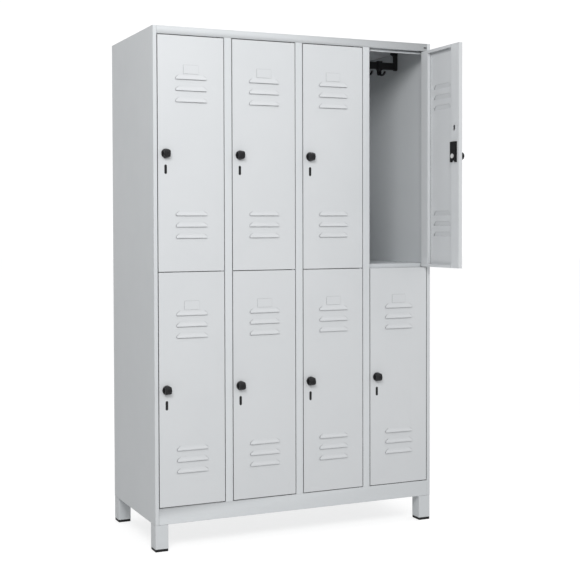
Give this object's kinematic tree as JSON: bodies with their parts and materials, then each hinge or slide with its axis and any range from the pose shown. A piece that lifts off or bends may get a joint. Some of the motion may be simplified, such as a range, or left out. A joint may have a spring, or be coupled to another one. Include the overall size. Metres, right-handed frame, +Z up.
{
  "type": "locker cabinet",
  "caption": "Sheet steel locker cabinet on square feet, with louvred hinged doors in two tiers, knob locks and a coat rail with hooks in each locker.",
  "frame": {"origin": "on the floor, under the middle of the carcass footprint", "axes": "+Z up, the doors face -Y, +X to the right as seen from the front; the upper door of the right column stands open 90 degrees at rest"},
  "size_m": [1.203, 0.748, 1.95],
  "materials": {
    "carcass_paint": "semi-matt light grey powder coat with a fine texture",
    "door_paint": "semi-matt light grey powder coat with a fine texture",
    "bright_steel": "bright zinc plate",
    "black_knob": "satin black moulding",
    "black_lock": "matt black moulding",
    "black_moulding": "matt black moulding",
    "black_glide": "matt black moulding",
    "plate_dark": "plain dark plate with no mark"
  },
  "bodies": {
    "carcass": {"side_panel_left": "carcass_paint", "side_panel_right": "carcass_paint", "roof": "carcass_paint", "deck": "carcass_paint", "back_panel": "carcass_paint", "partition_1": "carcass_paint", "partition_2": "carcass_paint", "partition_3": "carcass_paint", "shelf_1": "carcass_paint", "shelf_2": "carcass_paint", "shelf_3": "carcass_paint", "shelf_4": "carcass_paint", "feet": "carcass_paint", "foot_glides": "black_glide", "pivot_brackets": "carcass_paint", "pivot_pins": "bright_steel", "coat_rails": "black_moulding", "coat_hooks": "black_moulding", "blank_plate": "plate_dark"},
    "upper_door_1": {"upper_leaf_1": "door_paint", "upper_channels_1": "door_paint", "upper_lock_case_1": "black_lock"},
    "upper_lock_1": {"upper_knob_1": "black_knob", "upper_latch_1": "bright_steel"},
    "upper_door_2": {"upper_leaf_2": "door_paint", "upper_channels_2": "door_paint", "upper_lock_case_2": "black_lock"},
    "upper_lock_2": {"upper_knob_2": "black_knob", "upper_latch_2": "bright_steel"},
    "upper_door_3": {"upper_leaf_3": "door_paint", "upper_channels_3": "door_paint", "upper_lock_case_3": "black_lock"},
    "upper_lock_3": {"upper_knob_3": "black_knob", "upper_latch_3": "bright_steel"},
    "upper_door_4": {"upper_leaf_4": "door_paint", "upper_channels_4": "door_paint", "upper_lock_case_4": "black_lock"},
    "upper_lock_4": {"upper_knob_4": "black_knob", "upper_latch_4": "bright_steel"},
    "lower_door_1": {"lower_leaf_1": "door_paint", "lower_channels_1": "door_paint", "lower_lock_case_1": "black_lock"},
    "lower_lock_1": {"lower_knob_1": "black_knob", "lower_latch_1": "bright_steel"},
    "lower_door_2": {"lower_leaf_2": "door_paint", "lower_channels_2": "door_paint", "lower_lock_case_2": "black_lock"},
    "lower_lock_2": {"lower_knob_2": "black_knob", "lower_latch_2": "bright_steel"},
    "lower_door_3": {"lower_leaf_3": "door_paint", "lower_channels_3": "door_paint", "lower_lock_case_3": "black_lock"},
    "lower_lock_3": {"lower_knob_3": "black_knob", "lower_latch_3": "bright_steel"},
    "lower_door_4": {"lower_leaf_4": "door_paint", "lower_channels_4": "door_paint", "lower_lock_case_4": "black_lock"},
    "lower_lock_4": {"lower_knob_4": "black_knob", "lower_latch_4": "bright_steel"}
  },
  "joints": [
    {"name": "upper_door_1_hinge", "type": "hinge", "parent": "carcass", "child": "upper_door_1", "pos_m": [-0.327, -0.243, 1.47975], "axis": [0, 0, 1], "range_deg": [0, 105]},
    {"name": "upper_lock_1_turn", "type": "hinge", "parent": "upper_door_1", "child": "upper_lock_1", "pos_m": [-0.552, -0.25, 1.47975], "axis": [0, -1, 0], "range_deg": [0, 90]},
    {"name": "upper_door_2_hinge", "type": "hinge", "parent": "carcass", "child": "upper_door_2", "pos_m": [-0.027, -0.243, 1.47975], "axis": [0, 0, 1], "range_deg": [0, 105]},
    {"name": "upper_lock_2_turn", "type": "hinge", "parent": "upper_door_2", "child": "upper_lock_2", "pos_m": [-0.252, -0.25, 1.47975], "axis": [0, -1, 0], "range_deg": [0, 90]},
    {"name": "upper_door_3_hinge", "type": "hinge", "parent": "carcass", "child": "upper_door_3", "pos_m": [0.273, -0.243, 1.47975], "axis": [0, 0, 1], "range_deg": [0, 105]},
    {"name": "upper_lock_3_turn", "type": "hinge", "parent": "upper_door_3", "child": "upper_lock_3", "pos_m": [0.048, -0.25, 1.47975], "axis": [0, -1, 0], "range_deg": [0, 90]},
    {"name": "upper_door_4_hinge", "type": "hinge", "parent": "carcass", "child": "upper_door_4", "pos_m": [0.573, -0.243, 1.47975], "axis": [0, 0, 1], "range_deg": [-90, 15]},
    {"name": "upper_lock_4_turn", "type": "hinge", "parent": "upper_door_4", "child": "upper_lock_4", "pos_m": [0.58, -0.468, 1.47975], "axis": [1, 0, 0], "range_deg": [0, 90]},
    {"name": "lower_door_1_hinge", "type": "hinge", "parent": "carcass", "child": "lower_door_1", "pos_m": [-0.327, -0.243, 0.60225], "axis": [0, 0, 1], "range_deg": [0, 105]},
    {"name": "lower_lock_1_turn", "type": "hinge", "parent": "lower_door_1", "child": "lower_lock_1", "pos_m": [-0.552, -0.25, 0.60225], "axis": [0, -1, 0], "range_deg": [0, 90]},
    {"name": "lower_door_2_hinge", "type": "hinge", "parent": "carcass", "child": "lower_door_2", "pos_m": [-0.027, -0.243, 0.60225], "axis": [0, 0, 1], "range_deg": [0, 105]},
    {"name": "lower_lock_2_turn", "type": "hinge", "parent": "lower_door_2", "child": "lower_lock_2", "pos_m": [-0.252, -0.25, 0.60225], "axis": [0, -1, 0], "range_deg": [0, 90]},
    {"name": "lower_door_3_hinge", "type": "hinge", "parent": "carcass", "child": "lower_door_3", "pos_m": [0.273, -0.243, 0.60225], "axis": [0, 0, 1], "range_deg": [0, 105]},
    {"name": "lower_lock_3_turn", "type": "hinge", "parent": "lower_door_3", "child": "lower_lock_3", "pos_m": [0.048, -0.25, 0.60225], "axis": [0, -1, 0], "range_deg": [0, 90]},
    {"name": "lower_door_4_hinge", "type": "hinge", "parent": "carcass", "child": "lower_door_4", "pos_m": [0.573, -0.243, 0.60225], "axis": [0, 0, 1], "range_deg": [0, 105]},
    {"name": "lower_lock_4_turn", "type": "hinge", "parent": "lower_door_4", "child": "lower_lock_4", "pos_m": [0.348, -0.25, 0.60225], "axis": [0, -1, 0], "range_deg": [0, 90]}
  ]
}
